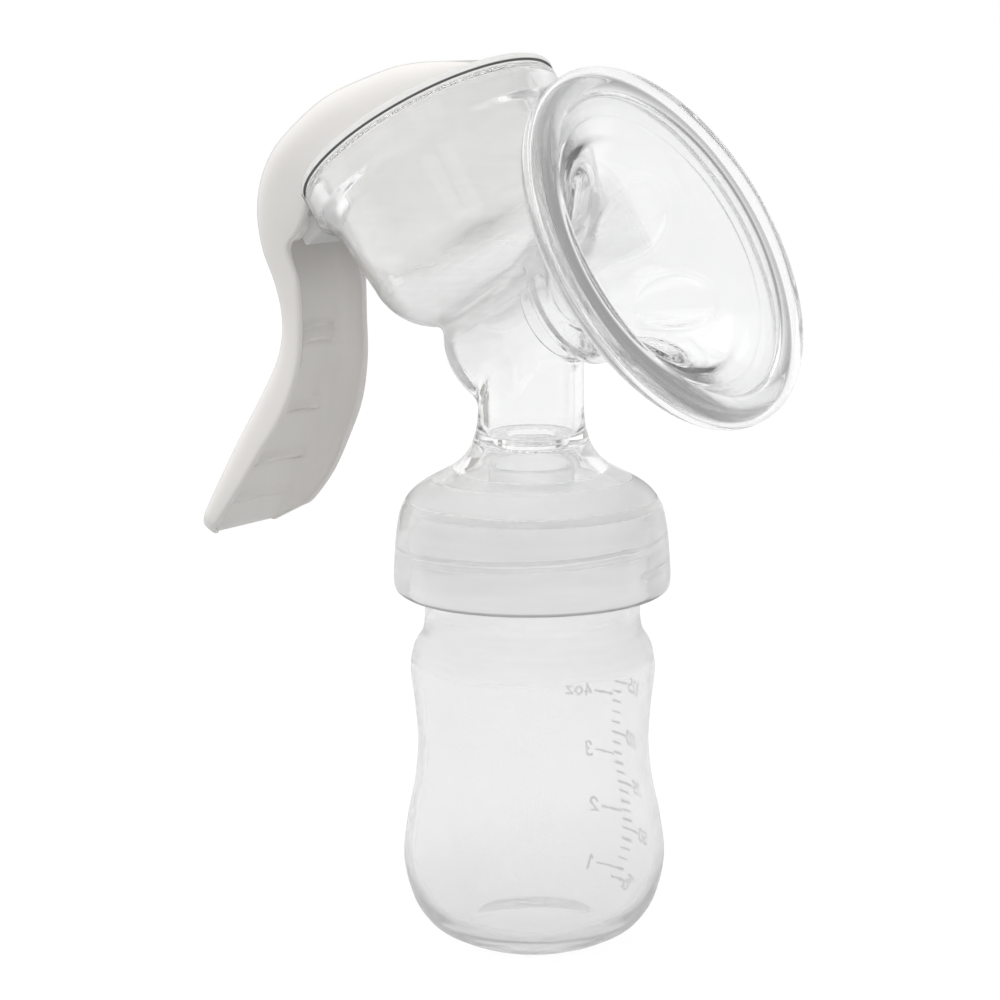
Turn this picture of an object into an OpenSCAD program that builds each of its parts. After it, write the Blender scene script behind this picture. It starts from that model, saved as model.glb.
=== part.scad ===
// Manual lever breast pump standing on its bottle.
// The table is z = 0, the bottle axis is the Z axis, the funnel opens towards +X
// and the squeeze handle hangs on the -X side.  All sizes are millimetres.

/* [Bottle] */
// Height of the bottle lip above the table
lip_z = 101; // [99:0.5:103]
// Widest radius, low on the belly
belly_r = 30.9; // [30:0.1:31.5]
// Radius of the hand-hold waist
waist_r = 27.2; // [26.5:0.1:28]
// Outer radius of the neck
neck_r = 25.2; // [24.8:0.1:25.4]
// Wall thickness of the bottle
bottle_wall = 1.8; // [1.4:0.1:2.2]
// Volume at the top mark of the scale, in millilitres
scale_max = 125; // [100:25:125]

/* [Collar and drop tube] */
// Rise of the neck thread in one turn
thread_pitch = 6; // [5.5:0.5:6]
// Turns of thread on the neck and in the collar
thread_turns = 1.25; // [1:0.25:1.25]
// Outer radius of the drop tube and of the tunnel
tube_r = 12.25; // [12:0.05:12.5]
// Wall thickness of the clear body
body_wall = 2.1; // [1.9:0.1:2.3]

/* [Head] */
// Height where the bottle, tunnel and bowl axes meet
head_z = 144.8; // [143:0.2:147]
// Rise of the funnel axis above level, in degrees
funnel_rise = 29; // [27:0.5:31]
// Backward lean of the bowl axis from upright, in degrees
bowl_lean = 33; // [32:0.5:34]
// Distance from the axes' meeting point to the bowl's top edge
rim_h = 51.6; // [51:0.1:52.5]
// Radius of the band round the top of the bowl
rim_r = 32.6; // [32.2:0.1:33]
// Distance from the axes' meeting point to the funnel's front edge
mouth_s = 43; // [42:0.5:44]
// Radius of the hard funnel's front edge
mouth_r = 41.6; // [41:0.1:42]
// Number of massage pads inside the soft cushion
pads = 5; // [4:1:6]

/* [Handle] */
// Wall thickness of the handle channel
handle_wall = 2.2; // [1.8:0.1:2.6]
// Radius of the two pivot stubs
pivot_r = 3; // [2.6:0.1:3.4]
// Radius of the pull rod's waist, which sits in the handle's fork
rod_r = 2.4; // [2.2:0.1:2.6]

/* [Hidden] */
$fn = 72;

eps = 0.05;            // overlap that makes cuts and joins clean
slip = 0.1;            // gap between parts that touch without moving
run = 0.05;            // radial running clearance of the pivot

// collar
collar_z = 83.6;       // lower edge of the collar
collar_bore_r = 28.4;
seal_t = 2;
ledge_z = lip_z + seal_t + 2 * slip;
tube_floor_z = 120;    // ledge across the bottom of the drop tube
spout_r = 8.2;         // stub the outlet valve is pushed on to
spout_z = ledge_z + 2;
thread_h = 2.2;        // how far a thread stands out of its wall
thread_w = 1.8;        // thread width where it meets the wall
thread_z = 86.5;       // start of the neck thread
thread_step = 15;      // degrees covered by one short piece of thread

// tunnel and funnel
tunnel_back = 17.3;    // closed end of the tunnel, behind the meeting point
bore_r = tube_r - body_wall;
throat_s = 12.6;       // start of the funnel

// bowl, heights measured from its top edge
band_h = 8;
bowl_r = 29.6;
knuckle_r = 15;        // radius of the bowl's bottom corner
knuckle_x = 12.8;
knuckle_h = -26.5;
bowl_wall = 2.1;
shoulder_h = 3.5;      // slope under the band
air_hole_r = 4;

// diaphragm and pull rod, heights measured from the bowl's top edge
lip_t = 2.2;
skin = 1.2;
cup_r = 26.1;
floor_h = -25.8;
floor_t = 1.6;
fork_bottom = 5.6;
fork_t = 2.4;
fork_gap = 0.9;        // play between the fork and the rod's head
head_r = 4;
head_t = 2.3;

// handle pivot, measured in the bowl's own frame
pivot_out = 38;        // distance from the bowl axis, on the handle side
pivot_h = 1.5;         // height above the bowl's top edge
lug_r = 4.4;
lug_y = 11.6;          // half width of the lug between the handle's walls
stub_y = 14.3;         // reach of each pivot stub

// ---- helpers ---------------------------------------------------------------

function curve_at(a, b, c, d, t) =
    0.5 * (2 * b + (c - a) * t + (2 * a - 5 * b + 4 * c - d) * t * t
           + (3 * b - a - 3 * c + d) * t * t * t);

// A smooth curve through a list of points of any dimension.
function smooth(p, steps) = concat(
    [for (i = [0 : len(p) - 2]) for (k = [0 : steps - 1])
        curve_at(p[max(i - 1, 0)], p[i], p[i + 1], p[min(i + 2, len(p) - 1)], k / steps)],
    [p[len(p) - 1]]);

// Frame with +Z along the funnel axis.
module along_funnel() {
    translate([0, 0, head_z])
        rotate([0, 90 - funnel_rise, 0])
            children();
}

// Frame with +Z along the bowl axis and its origin at the bowl's top edge.
module at_rim() {
    translate([0, 0, head_z])
        rotate([0, -bowl_lean, 0])
            translate([0, 0, rim_h])
                children();
}

// ---- bottle ----------------------------------------------------------------

// Outer line from the foot to the neck, as [radius, height].
bottle_line = smooth([
    [17, 0], [21, 1.8], [25.2, 4.6], [28.9, 10.4], [belly_r, 19.5], [29.9, 29],
    [28, 38.5], [waist_r, 47.5], [27.8, 57], [28.7, 65], [27.9, 70.4],
    [25.8, 74.2], [neck_r, 77.6]], 3);

// Inner line from the floor to the neck.
bottle_bore = smooth([
    [15, 4], [20.6, 5.4], [24.4, 8.2], [27.4, 12.8], [belly_r - bottle_wall, 20],
    [29.9 - bottle_wall, 29], [28 - bottle_wall, 38.5], [waist_r - bottle_wall, 47.5],
    [27.8 - bottle_wall, 57], [28.7 - bottle_wall, 64.6], [27.9 - bottle_wall, 69.4],
    [25.8 - bottle_wall, 73.2], [neck_r - bottle_wall, 77]], 3);

function bottle_radius(z) = lookup(z, [for (p = bottle_line) [p[1], p[0]]]);

// Thread built from short level pieces, each one a little higher than the last.
module thread(root_r, crest_r) {
    rise = thread_pitch * thread_step / 360;
    crest_w = thread_w / 2;
    for (i = [0 : thread_turns * 360 / thread_step - 1])
        rotate([0, 0, i * thread_step])
            translate([0, 0, i * rise])
                rotate_extrude(angle = thread_step + 0.6)
                    polygon([[root_r, -thread_w / 2], [crest_r, -crest_w / 2],
                             [crest_r, crest_w / 2], [root_r, thread_w / 2]]);
}

// Raised marks every 5 ml, longer every 25 ml, facing away from the funnel's left.
module scale_marks() {
    mark_az = 77;
    first_z = 6.5;
    mm_per_ml = 0.505;
    stand = 0.35;
    for (v = [25 : 5 : scale_max]) {
        z = first_z + (v - 25) * mm_per_ml;
        long = v % 25 == 0;
        width = long ? 11 : 6;
        rotate([0, 0, mark_az])
            rotate_extrude(angle = -width)
                translate([bottle_radius(z) - 0.6, z - 0.25])
                    square([0.6 + stand, 0.5]);
    }
}

module bottle() {
    push_up_r = 15;
    push_up = 2.2;
    dome_r = (push_up_r * push_up_r + push_up * push_up) / (2 * push_up);
    color([0.95, 0.96, 0.97, 0.4]) {
        difference() {
            union() {
                rotate_extrude()
                    polygon(concat([[0, 0]], bottle_line, [[neck_r, lip_z], [0, lip_z]]));
                scale_marks();
                translate([0, 0, thread_z])
                    thread(neck_r - 0.5, neck_r + thread_h);
            }
            rotate_extrude()
                polygon(concat([[0, 4]], bottle_bore,
                               [[neck_r - bottle_wall, lip_z + 1], [0, lip_z + 1]]));
            translate([0, 0, push_up - dome_r])
                sphere(r = dome_r);
        }
    }
}

// ---- clear pump body -------------------------------------------------------

// Outside of the collar and its flare into the drop tube, as [radius, height].
collar_line = smooth([
    [30.6, collar_z], [31.9, 84.7], [32.3, 87.2], [32, 93], [31.4, 99], [30.3, 103.6],
    [27.8, 107.3], [24.2, 109.8], [20.2, 111.9], [16.8, 114.2], [14.3, 117.3],
    [12.8, 121.5], [tube_r, 126]], 3);

module collar_outside() {
    rotate_extrude()
        polygon(concat([[0, collar_z]], collar_line, [[tube_r, head_z], [0, head_z]]));
}

// Three shallow finger hollows round the collar.
module finger_hollows() {
    hollow_r = 60;
    depth = 1.1;
    for (a = [0, 120, 240])
        rotate([0, 0, a])
            translate([32 + hollow_r - depth, 0, 91])
                sphere(r = hollow_r);
}

module collar_inside() {
    dome = smooth([
        [23.4, ledge_z], [22.4, 105.6], [18.6, 109], [15, 111.4], [12.4, 114.2], [11.2, 118]], 3);
    translate([0, 0, collar_z - 1])
        cylinder(r = collar_bore_r, h = ledge_z - collar_z + 1);
    difference() {
        rotate_extrude()
            polygon(concat([[0, ledge_z - eps], [23.4, ledge_z - eps]], dome, [[0, 118]]));
        translate([0, 0, spout_z])
            cylinder(r = spout_r, h = 20);
    }
}

// Funnel outline along its own axis, as [radius, distance].
horn_line = smooth([
    [15, throat_s], [17.4, 19.5], [22.6, 27], [29.6, 34], [36.4, 39.2],
    [mouth_r - 1, mouth_s - 2]], 3);
horn_bore = smooth([
    [12.4, throat_s + 1.2], [14.6, 20.6], [19.6, 28], [26.6, 35.2], [33.6, 40.5],
    [mouth_r - 3, mouth_s]], 3);

module horn_outside() {
    rotate_extrude()
        polygon(concat([[0, throat_s]], horn_line,
                       [[mouth_r, mouth_s - 2], [mouth_r, mouth_s], [0, mouth_s]]));
}

module horn_inside() {
    rotate_extrude()
        polygon(concat([[0, throat_s + 1.2]], horn_bore,
                       [[mouth_r - 3, mouth_s + 1], [0, mouth_s + 1]]));
}

module bowl_section(grow) {
    r = bowl_r + grow;
    intersection() {
        union() {
            translate([knuckle_x, knuckle_h])
                circle(r = knuckle_r + grow);
            translate([0, knuckle_h - knuckle_r - grow])
                square([knuckle_x, knuckle_r + grow + 1]);
            polygon([[0, knuckle_h], [knuckle_x + knuckle_r + grow, knuckle_h],
                     [r, -band_h - shoulder_h], [r, 0], [0, 0]]);
        }
        translate([0, -60])
            square([60, 60]);
    }
}

module bowl_outside() {
    rotate_extrude() {
        bowl_section(0);
        polygon([[0, -band_h - shoulder_h], [bowl_r, -band_h - shoulder_h],
                 [rim_r, -band_h], [rim_r, -0.6], [rim_r - 0.6, 0], [0, 0]]);
    }
}

module bowl_inside() {
    rotate_extrude()
        bowl_section(-bowl_wall);
    translate([0, 0, -1])
        cylinder(r = bowl_r - bowl_wall, h = 2);
}

// Lug behind the bowl that carries the two pivot stubs.
module pivot_lug() {
    translate([-pivot_out, 0, pivot_h]) {
        rotate([90, 0, 0])
            cylinder(r = lug_r, h = 2 * lug_y, center = true);
        rotate([90, 0, 0])
            cylinder(r = pivot_r, h = 2 * stub_y, center = true);
    }
    translate([-pivot_out, -lug_y, -6])
        cube([pivot_out - rim_r + 3, 2 * lug_y, 5.4]);
}

module pump_body() {
    color([0.9, 0.94, 0.96, 0.35]) {
        difference() {
            union() {
                difference() {
                    collar_outside();
                    finger_hollows();
                }
                along_funnel() {
                    translate([0, 0, -tunnel_back])
                        cylinder(r = tube_r, h = tunnel_back + throat_s + 1);
                    horn_outside();
                }
                at_rim() {
                    bowl_outside();
                    pivot_lug();
                }
            }
            collar_inside();
            translate([0, 0, tube_floor_z])
                cylinder(r = bore_r, h = head_z - tube_floor_z);
            translate([0, 0, spout_z - 1])
                cylinder(r = spout_r - body_wall, h = tube_floor_z - spout_z + 2);
            along_funnel() {
                translate([0, 0, body_wall - tunnel_back])
                    cylinder(r = bore_r, h = tunnel_back + throat_s);
                horn_inside();
            }
            at_rim() {
                bowl_inside();
                translate([0, 0, -rim_h])
                    cylinder(r = air_hole_r, h = rim_h - 20);
            }
        }
        translate([0, 0, thread_z + thread_pitch / 2])
            thread(collar_bore_r + 0.5, collar_bore_r - thread_h);
    }
}

// ---- soft parts in the collar ----------------------------------------------

module neck_seal() {
    color([0.93, 0.93, 0.92]) {
        translate([0, 0, lip_z + slip]) {
            difference() {
                cylinder(r = collar_bore_r - 3 * slip, h = seal_t);
                translate([0, 0, -1])
                    cylinder(r = neck_r - bottle_wall, h = seal_t + 2);
            }
        }
    }
}

// Duck-bill shape: a round top that narrows to a flat slit.
module duck_bill(r, slit_t, h) {
    intersection() {
        translate([0, 0, -h])
            cylinder(r = r, h = h);
        rotate([90, 0, 0])
            linear_extrude(height = 2 * r, center = true)
                polygon([[-r, 0], [r, 0], [slit_t / 2, -h], [-slit_t / 2, -h]]);
    }
}

module outlet_valve() {
    socket_top = 112;
    bill_h = 13;
    color([0.95, 0.95, 0.94]) {
        difference() {
            union() {
                translate([0, 0, spout_z - 1.6])
                    cylinder(r = spout_r + 1.8, h = socket_top - spout_z + 1.6);
                translate([0, 0, spout_z - 1.6 + eps])
                    duck_bill(spout_r, 2.4, bill_h);
            }
            translate([0, 0, spout_z - slip])
                cylinder(r = spout_r + slip, h = 20);
            translate([0, 0, spout_z])
                duck_bill(spout_r - 1.4, 0.4, bill_h);
        }
    }
}

// ---- massage cushion -------------------------------------------------------

module cushion_section() {
    roll_r = 3.6;
    roll_x = 40.4;
    inset = 1.7;
    outer = [for (p = horn_bore) [p[0] - slip, p[1]]];
    inner = [for (i = [len(horn_bore) - 1 : -1 : 0]) [horn_bore[i][0] - inset - slip, horn_bore[i][1] + 0.5]];
    polygon(concat(outer, inner));
    // ring that joins the liner to the tail in the tunnel
    translate([bore_r - slip - 1.5, throat_s + 1.3])
        square([12.3 - bore_r + slip + 1.5, 1.5]);
    translate([roll_x, mouth_s - 1.4])
        circle(r = roll_r);
    translate([roll_x, mouth_s - 0.2])
        circle(r = roll_r);
    translate([roll_x - roll_r, mouth_s - 1.4])
        square([2 * roll_r, 1.2]);
}

// Pads are the tops of large balls sunk into the liner.
module massage_pads() {
    pad_r = 12;
    first_angle = 62;
    for (i = [0 : pads - 1])
        rotate([0, 0, first_angle + i * 360 / pads])
            translate([26.3, 0, 22])
                sphere(r = pad_r);
}

module massage_cushion() {
    tail_s = 7;
    color([0.94, 0.95, 0.96, 0.5]) {
        along_funnel() {
            difference() {
                union() {
                    rotate_extrude()
                        cushion_section();
                    intersection() {
                        massage_pads();
                        rotate_extrude()
                            polygon(concat([[0, throat_s + 1.3]],
                                           [for (p = horn_bore) [p[0] - 3 * slip, p[1]]],
                                           [[0, mouth_s]]));
                    }
                    translate([0, 0, tail_s])
                        cylinder(r = bore_r - slip, h = throat_s + 2 - tail_s);
                }
                difference() {
                    horn_outside_grown();
                    horn_inside();
                }
                translate([0, 0, tail_s - 1])
                    cylinder(r = bore_r - slip - 1.5, h = 12);
            }
        }
    }
}

// The funnel with a little air round it, to cut the pocket for its front edge.
module horn_outside_grown() {
    rotate_extrude()
        polygon(concat([[0, 30]], [[33, 30]], [[mouth_r + slip, mouth_s - 2 - slip]],
                       [[mouth_r + slip, mouth_s + slip], [0, mouth_s + slip]]));
}

// ---- diaphragm and pull rod ------------------------------------------------

module diaphragm() {
    corner_r = 7;
    color([0.96, 0.96, 0.95]) {
        at_rim() {
            rotate_extrude() {
                // lip over the bowl's top edge
                translate([cup_r - skin, slip])
                    square([rim_r - cup_r + skin - 1, lip_t]);
                translate([rim_r - 1, slip + lip_t / 2])
                    circle(r = lip_t / 2);
                // wall
                translate([cup_r - skin, floor_h + corner_r])
                    square([skin, slip + lip_t - floor_h - corner_r]);
                // rounded corner
                intersection() {
                    difference() {
                        translate([cup_r - corner_r, floor_h + corner_r])
                            circle(r = corner_r);
                        translate([cup_r - corner_r, floor_h + corner_r])
                            circle(r = corner_r - skin);
                    }
                    translate([cup_r - corner_r, floor_h])
                        square([corner_r, corner_r]);
                }
                // floor with a thicker middle
                translate([3.1, floor_h])
                    square([cup_r - corner_r - 3.1, skin]);
                translate([3.1, floor_h])
                    square([8, floor_t]);
            }
        }
    }
}

module pull_rod() {
    foot_h = floor_h + floor_t + slip;
    waist_h = fork_bottom + fork_t + fork_gap;
    color([0.95, 0.95, 0.93]) {
        at_rim() {
            // barb under the diaphragm, neck through it and foot on top
            translate([0, 0, floor_h - slip - 1.6])
                cylinder(r1 = 3.4, r2 = 4.6, h = 1.6);
            translate([0, 0, floor_h - slip - eps])
                cylinder(r = 3, h = floor_t + 3 * slip);
            translate([0, 0, foot_h])
                cylinder(r = 9, h = 2);
            translate([0, 0, foot_h + 2 - eps])
                cylinder(r1 = 5, r2 = 3.4, h = 12);
            translate([0, 0, foot_h])
                cylinder(r = rod_r, h = waist_h - foot_h + 1);
            // mushroom head over the fork
            translate([0, 0, waist_h])
                cylinder(r1 = rod_r, r2 = head_r, h = 1);
            translate([0, 0, waist_h + 1 - eps])
                cylinder(r = head_r, h = head_t - 1);
        }
    }
}

// ---- handle ----------------------------------------------------------------

// The channel's cross-sections from the finger tip up and over the bowl:
// [back x, back z, lip x, lip z, half width, corner radius].
handle_line = smooth([
    [-89.8, 90.4, -87.6, 89.6, 12, 1.6],
    [-88.9, 93, -85.2, 91.4, 16.8, 2.6],
    [-86.8, 97, -80.6, 94.2, 19.2, 5],
    [-81.4, 106.3, -74, 102.4, 19.4, 6],
    [-76, 116.3, -67.8, 112, 18.2, 6],
    [-71, 126, -62, 121.8, 16.2, 6],
    [-67.2, 135, -58.6, 132.8, 14.3, 6],
    [-66.2, 143.5, -58, 144, 13.5, 6],
    [-68, 152, -58.4, 153.5, 13.8, 6.5],
    [-71.7, 161, -60.2, 161.5, 14.6, 7.5],
    [-73, 169.9, -56, 166.5, 15.3, 8.5],
    [-71.6, 177.8, -53.2, 171.8, 15.8, 9],
    [-66.8, 185.6, -51.5, 177, 16.4, 9],
    [-59.2, 192.1, -47, 180.8, 17, 9],
    [-50, 198, -39.5, 185.6, 17.2, 9],
    [-39.4, 202, -31.5, 190.8, 16.6, 8.5],
    [-29.2, 204.8, -23.8, 195.8, 15.2, 7],
    [-19, 205.6, -16.4, 200.4, 12.4, 4.5],
    [-11, 205.2, -10.4, 203.3, 7, 1.6]], 2);

arc_steps = [0, 30, 60, 90];

// One U-shaped cross-section, as points in space.
function channel(s) =
    let (back = [s[0], 0, s[1]],
         deep = norm([s[2] - s[0], s[3] - s[1]]),
         in = [s[2] - s[0], 0, s[3] - s[1]] / deep,
         w = s[4],
         t = min(handle_wall, deep * 0.7),
         c = min(s[5], deep - 0.3),
         ci = max(min(c - t, deep - t - 0.1), 0.2),
         outer = [for (a = arc_steps) [w - c + c * cos(a), c - c * sin(a)]],
         inner = [for (a = arc_steps) [w - t - ci + ci * cos(a), t + ci - ci * sin(a)]],
         half = concat([[w, deep]], outer),
         half_in = concat([[w - t, deep]], inner),
         n = len(half) - 1,
         loop = concat(half,
                       [for (i = [n : -1 : 0]) [-half[i][0], half[i][1]]],
                       [for (i = [0 : n]) [-half_in[i][0], half_in[i][1]]],
                       [for (i = [n : -1 : 0]) half_in[i]]))
    [for (p = loop) back + in * p[1] + [0, p[0], 0]];

module channel_shell() {
    rings = [for (s = handle_line) channel(s)];
    m = len(rings[0]);
    last = len(rings) - 1;
    side = [for (j = [0 : last - 1]) for (i = [0 : m - 1])
        let (k = (i + 1) % m)
        each [[j * m + i, (j + 1) * m + i, j * m + k],
              [j * m + k, (j + 1) * m + i, (j + 1) * m + k]]];
    // each end is closed by a strip of triangles between its outer and inner lines
    end = [for (i = [0 : m / 2 - 2])
        each [[i, i + 1, m - 1 - i], [i + 1, m - 2 - i, m - 1 - i]]];
    far_end = [for (f = end) [last * m + f[2], last * m + f[1], last * m + f[0]]];
    polyhedron(points = [for (r = rings) each r], faces = concat(side, end, far_end));
}

// Fork across the inside of the cap, open towards the funnel.
module fork() {
    slot = rod_r + 0.3;
    at_rim() {
        translate([0, 0, fork_bottom]) {
            difference() {
                linear_extrude(height = fork_t)
                    polygon([[-22, -15.8], [0, -14.4], [10.5, -12.6],
                             [10.5, 12.6], [0, 14.4], [-22, 15.8]]);
                translate([-1, 0, -1])
                    cylinder(r = slot, h = fork_t + 2);
                translate([-1, -slot, -1])
                    cube([20, 2 * slot, fork_t + 2]);
            }
        }
    }
}

// Inward bosses for the pivot stubs and the holes that take them.
module pivot_bosses() {
    boss_y = lug_y + 0.2;
    for (s = [-1, 1])
        at_rim()
            translate([-pivot_out, s * boss_y, pivot_h])
                rotate([-90 * s, 0, 0])
                    cylinder(r = pivot_r + 2.4, h = 2.4);
}

module pivot_holes() {
    at_rim()
        translate([-pivot_out, 0, pivot_h])
            rotate([90, 0, 0])
                cylinder(r = pivot_r + run, h = 2 * (stub_y + 0.2), center = true);
}

// Room inside the cap for the diaphragm's lip.
module lip_clearance() {
    at_rim()
        translate([0, 0, -1])
            cylinder(r = rim_r + 0.6, h = lip_t + 1.8);
}

// Low stiffening ribs across the bottom of the channel.
module channel_ribs() {
    rib_w = 1;
    for (rib = [[-62.8, 142, 17], [-63.1, 139, 17], [-69.8, 121, 22], [-76.6, 108, 27]])
        translate([rib[0] - 3, -rib[2] / 2, rib[1]])
            cube([3, rib[2], rib_w]);
}

module handle() {
    color([0.97, 0.96, 0.94]) {
        difference() {
            union() {
                channel_shell();
                fork();
                pivot_bosses();
                channel_ribs();
            }
            pivot_holes();
            lip_clearance();
        }
    }
}

// ---- what is drawn ---------------------------------------------------------

bottle();
pump_body();
neck_seal();
outlet_valve();
massage_cushion();
diaphragm();
pull_rod();
handle();
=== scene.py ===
import math

import bmesh
import bpy
import numpy as np
from mathutils import Matrix, Vector


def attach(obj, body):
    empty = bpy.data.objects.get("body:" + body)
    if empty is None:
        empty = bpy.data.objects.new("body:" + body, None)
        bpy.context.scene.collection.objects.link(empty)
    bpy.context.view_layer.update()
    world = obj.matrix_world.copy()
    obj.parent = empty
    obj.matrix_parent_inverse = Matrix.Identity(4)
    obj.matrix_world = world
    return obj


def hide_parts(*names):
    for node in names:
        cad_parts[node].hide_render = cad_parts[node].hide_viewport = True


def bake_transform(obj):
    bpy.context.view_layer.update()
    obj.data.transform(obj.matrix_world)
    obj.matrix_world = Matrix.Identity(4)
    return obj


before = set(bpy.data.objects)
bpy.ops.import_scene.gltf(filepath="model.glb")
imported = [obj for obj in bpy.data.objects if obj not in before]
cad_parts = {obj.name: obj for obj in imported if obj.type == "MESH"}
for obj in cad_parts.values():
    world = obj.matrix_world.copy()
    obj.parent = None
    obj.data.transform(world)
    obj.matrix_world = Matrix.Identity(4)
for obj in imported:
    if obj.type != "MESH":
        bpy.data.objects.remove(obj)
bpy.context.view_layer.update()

MM = 0.001

# ---- sizes shared with the CAD part, in millimetres ----

HEAD_Z = 144.8          # where the bottle, tunnel and bowl axes meet
FUNNEL_RISE = math.radians(29)
BOWL_LEAN = math.radians(33)
RIM_H = 51.6            # from that point to the bowl's top edge
RIM_R = 32.6
MOUTH_S = 43.0
MOUTH_R = 41.6
THROAT_S = 12.6
TUBE_R = 12.25
WALL = 2.1
BORE_R = TUBE_R - WALL
TUNNEL_BACK = 17.3
BELLY_R = 30.9
WAIST_R = 27.2
NECK_R = 25.2
BOTTLE_WALL = 1.8
LIP_Z = 101.0
COLLAR_Z = 83.6
COLLAR_BORE_R = 28.4
LEDGE_Z = 103.2
TUBE_FLOOR_Z = 120.0
SPOUT_R = 8.2
SPOUT_Z = 105.2
THREAD_Z = 86.5
THREAD_PITCH = 6.0
THREAD_TURNS = 1.25
HANDLE_WALL = 2.2
PIVOT = (-38.0, 0.0, 1.5)   # in the bowl's frame
PIVOT_R = 3.0
LUG_R = 4.4
LUG_Y = 11.6            # half widths of the lug and of its stubs
STUB_Y = 14.3
FORK_BOTTOM = 5.6
FORK_T = 2.4
ROD_R = 2.4
CUP_FLOOR = -25.8       # underside of the diaphragm, below the bowl's top edge
AIR_HOLE_R = 4.0

BASE = np.zeros(3)      # where the bottle's axis meets the table
ORIGIN = np.array([0.0, 0.0, HEAD_Z])
FUNNEL_AXES = np.array([
    [math.sin(FUNNEL_RISE), 0, -math.cos(FUNNEL_RISE)],
    [0, 1, 0],
    [math.cos(FUNNEL_RISE), 0, math.sin(FUNNEL_RISE)]])
BOWL_AXES = np.array([
    [math.cos(BOWL_LEAN), 0, math.sin(BOWL_LEAN)],
    [0, 1, 0],
    [-math.sin(BOWL_LEAN), 0, math.cos(BOWL_LEAN)]])
RIM_ORIGIN = ORIGIN + RIM_H * BOWL_AXES[2]
UPRIGHT = np.eye(3)


# ---- curves ----

def smooth(points, steps):
    """Catmull-Rom curve through the points, as the CAD part draws it."""
    p = np.asarray(points, float)
    out = []
    for i in range(len(p) - 1):
        a, b = p[max(i - 1, 0)], p[i]
        c, d = p[i + 1], p[min(i + 2, len(p) - 1)]
        for k in range(steps):
            t = k / steps
            out.append(0.5 * (2 * b + (c - a) * t + (2 * a - 5 * b + 4 * c - d) * t * t
                              + (3 * b - a - 3 * c + d) * t ** 3))
    out.append(p[-1])
    return np.array(out)


def arc(cx, cy, r, a0, a1, n):
    """Points on a circle from angle a0 to a1, in degrees."""
    a = np.radians(np.linspace(a0, a1, n))
    return np.stack([cx + r * np.cos(a), cy + r * np.sin(a)], 1)


def joined(*parts):
    return np.concatenate([np.atleast_2d(np.asarray(p, float)) for p in parts])


# ---- signed distances ----

class Turned:
    """Signed distance to a solid of revolution, looked up on a fine grid of radius and height."""

    def __init__(self, outline, origin, axes, step=0.25, pad=6.0):
        half = np.asarray(outline, float)
        loop = np.concatenate([half, (half * [-1, 1])[::-1]])
        self.origin, self.axes, self.step = origin, axes, step
        self.low = np.array([0.0, half[:, 1].min() - pad])
        high = np.array([half[:, 0].max() + pad, half[:, 1].max() + pad])
        n = np.ceil((high - self.low) / step).astype(int) + 2
        r = self.low[0] + step * np.arange(n[0])
        z = self.low[1] + step * np.arange(n[1])
        pr, pz = np.meshgrid(r, z, indexing="ij")
        dist = np.full(pr.shape, 1e9)
        inside = np.zeros(pr.shape, bool)
        for (r0, z0), (r1, z1) in zip(loop, np.roll(loop, -1, 0)):
            dr, dz = r1 - r0, z1 - z0
            size = dr * dr + dz * dz
            if size < 1e-12:
                continue
            t = np.clip(((pr - r0) * dr + (pz - z0) * dz) / size, 0, 1)
            dist = np.minimum(dist, (pr - r0 - t * dr) ** 2 + (pz - z0 - t * dz) ** 2)
            if abs(dz) > 1e-12:
                cross = (z0 > pz) != (z1 > pz)
                inside ^= cross & (pr < r0 + dr * (pz - z0) / dz)
        self.grid = (np.sqrt(dist) * np.where(inside, -1, 1)).astype(np.float32)

    def __call__(self, p):
        q = (p - self.origin) @ self.axes.T
        r = np.hypot(q[..., 0], q[..., 1])
        return self.at(r, q[..., 2])

    def at(self, r, z):
        shape = self.grid.shape
        gr = (r - self.low[0]) / self.step
        gz = (z - self.low[1]) / self.step
        cr = np.clip(gr, 0, shape[0] - 1.001)
        cz = np.clip(gz, 0, shape[1] - 1.001)
        i, j = cr.astype(int), cz.astype(int)
        u, v = cr - i, cz - j
        g = self.grid
        value = ((g[i, j] * (1 - u) + g[i + 1, j] * u) * (1 - v)
                 + (g[i, j + 1] * (1 - u) + g[i + 1, j + 1] * u) * v)
        return value + np.hypot(gr - cr, gz - cz) * self.step


def union(a, b, soft):
    h = np.maximum(soft - np.abs(a - b), 0) / soft
    return np.minimum(a, b) - h * h * soft / 4


def cut(a, b, soft):
    return -union(-a, b, soft)


def rounded_box(q, centre, half, radius):
    d = np.abs(q - centre) - (np.asarray(half) - radius)
    outside = np.linalg.norm(np.maximum(d, 0), axis=-1)
    return outside + np.minimum(d.max(-1), 0) - radius


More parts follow.
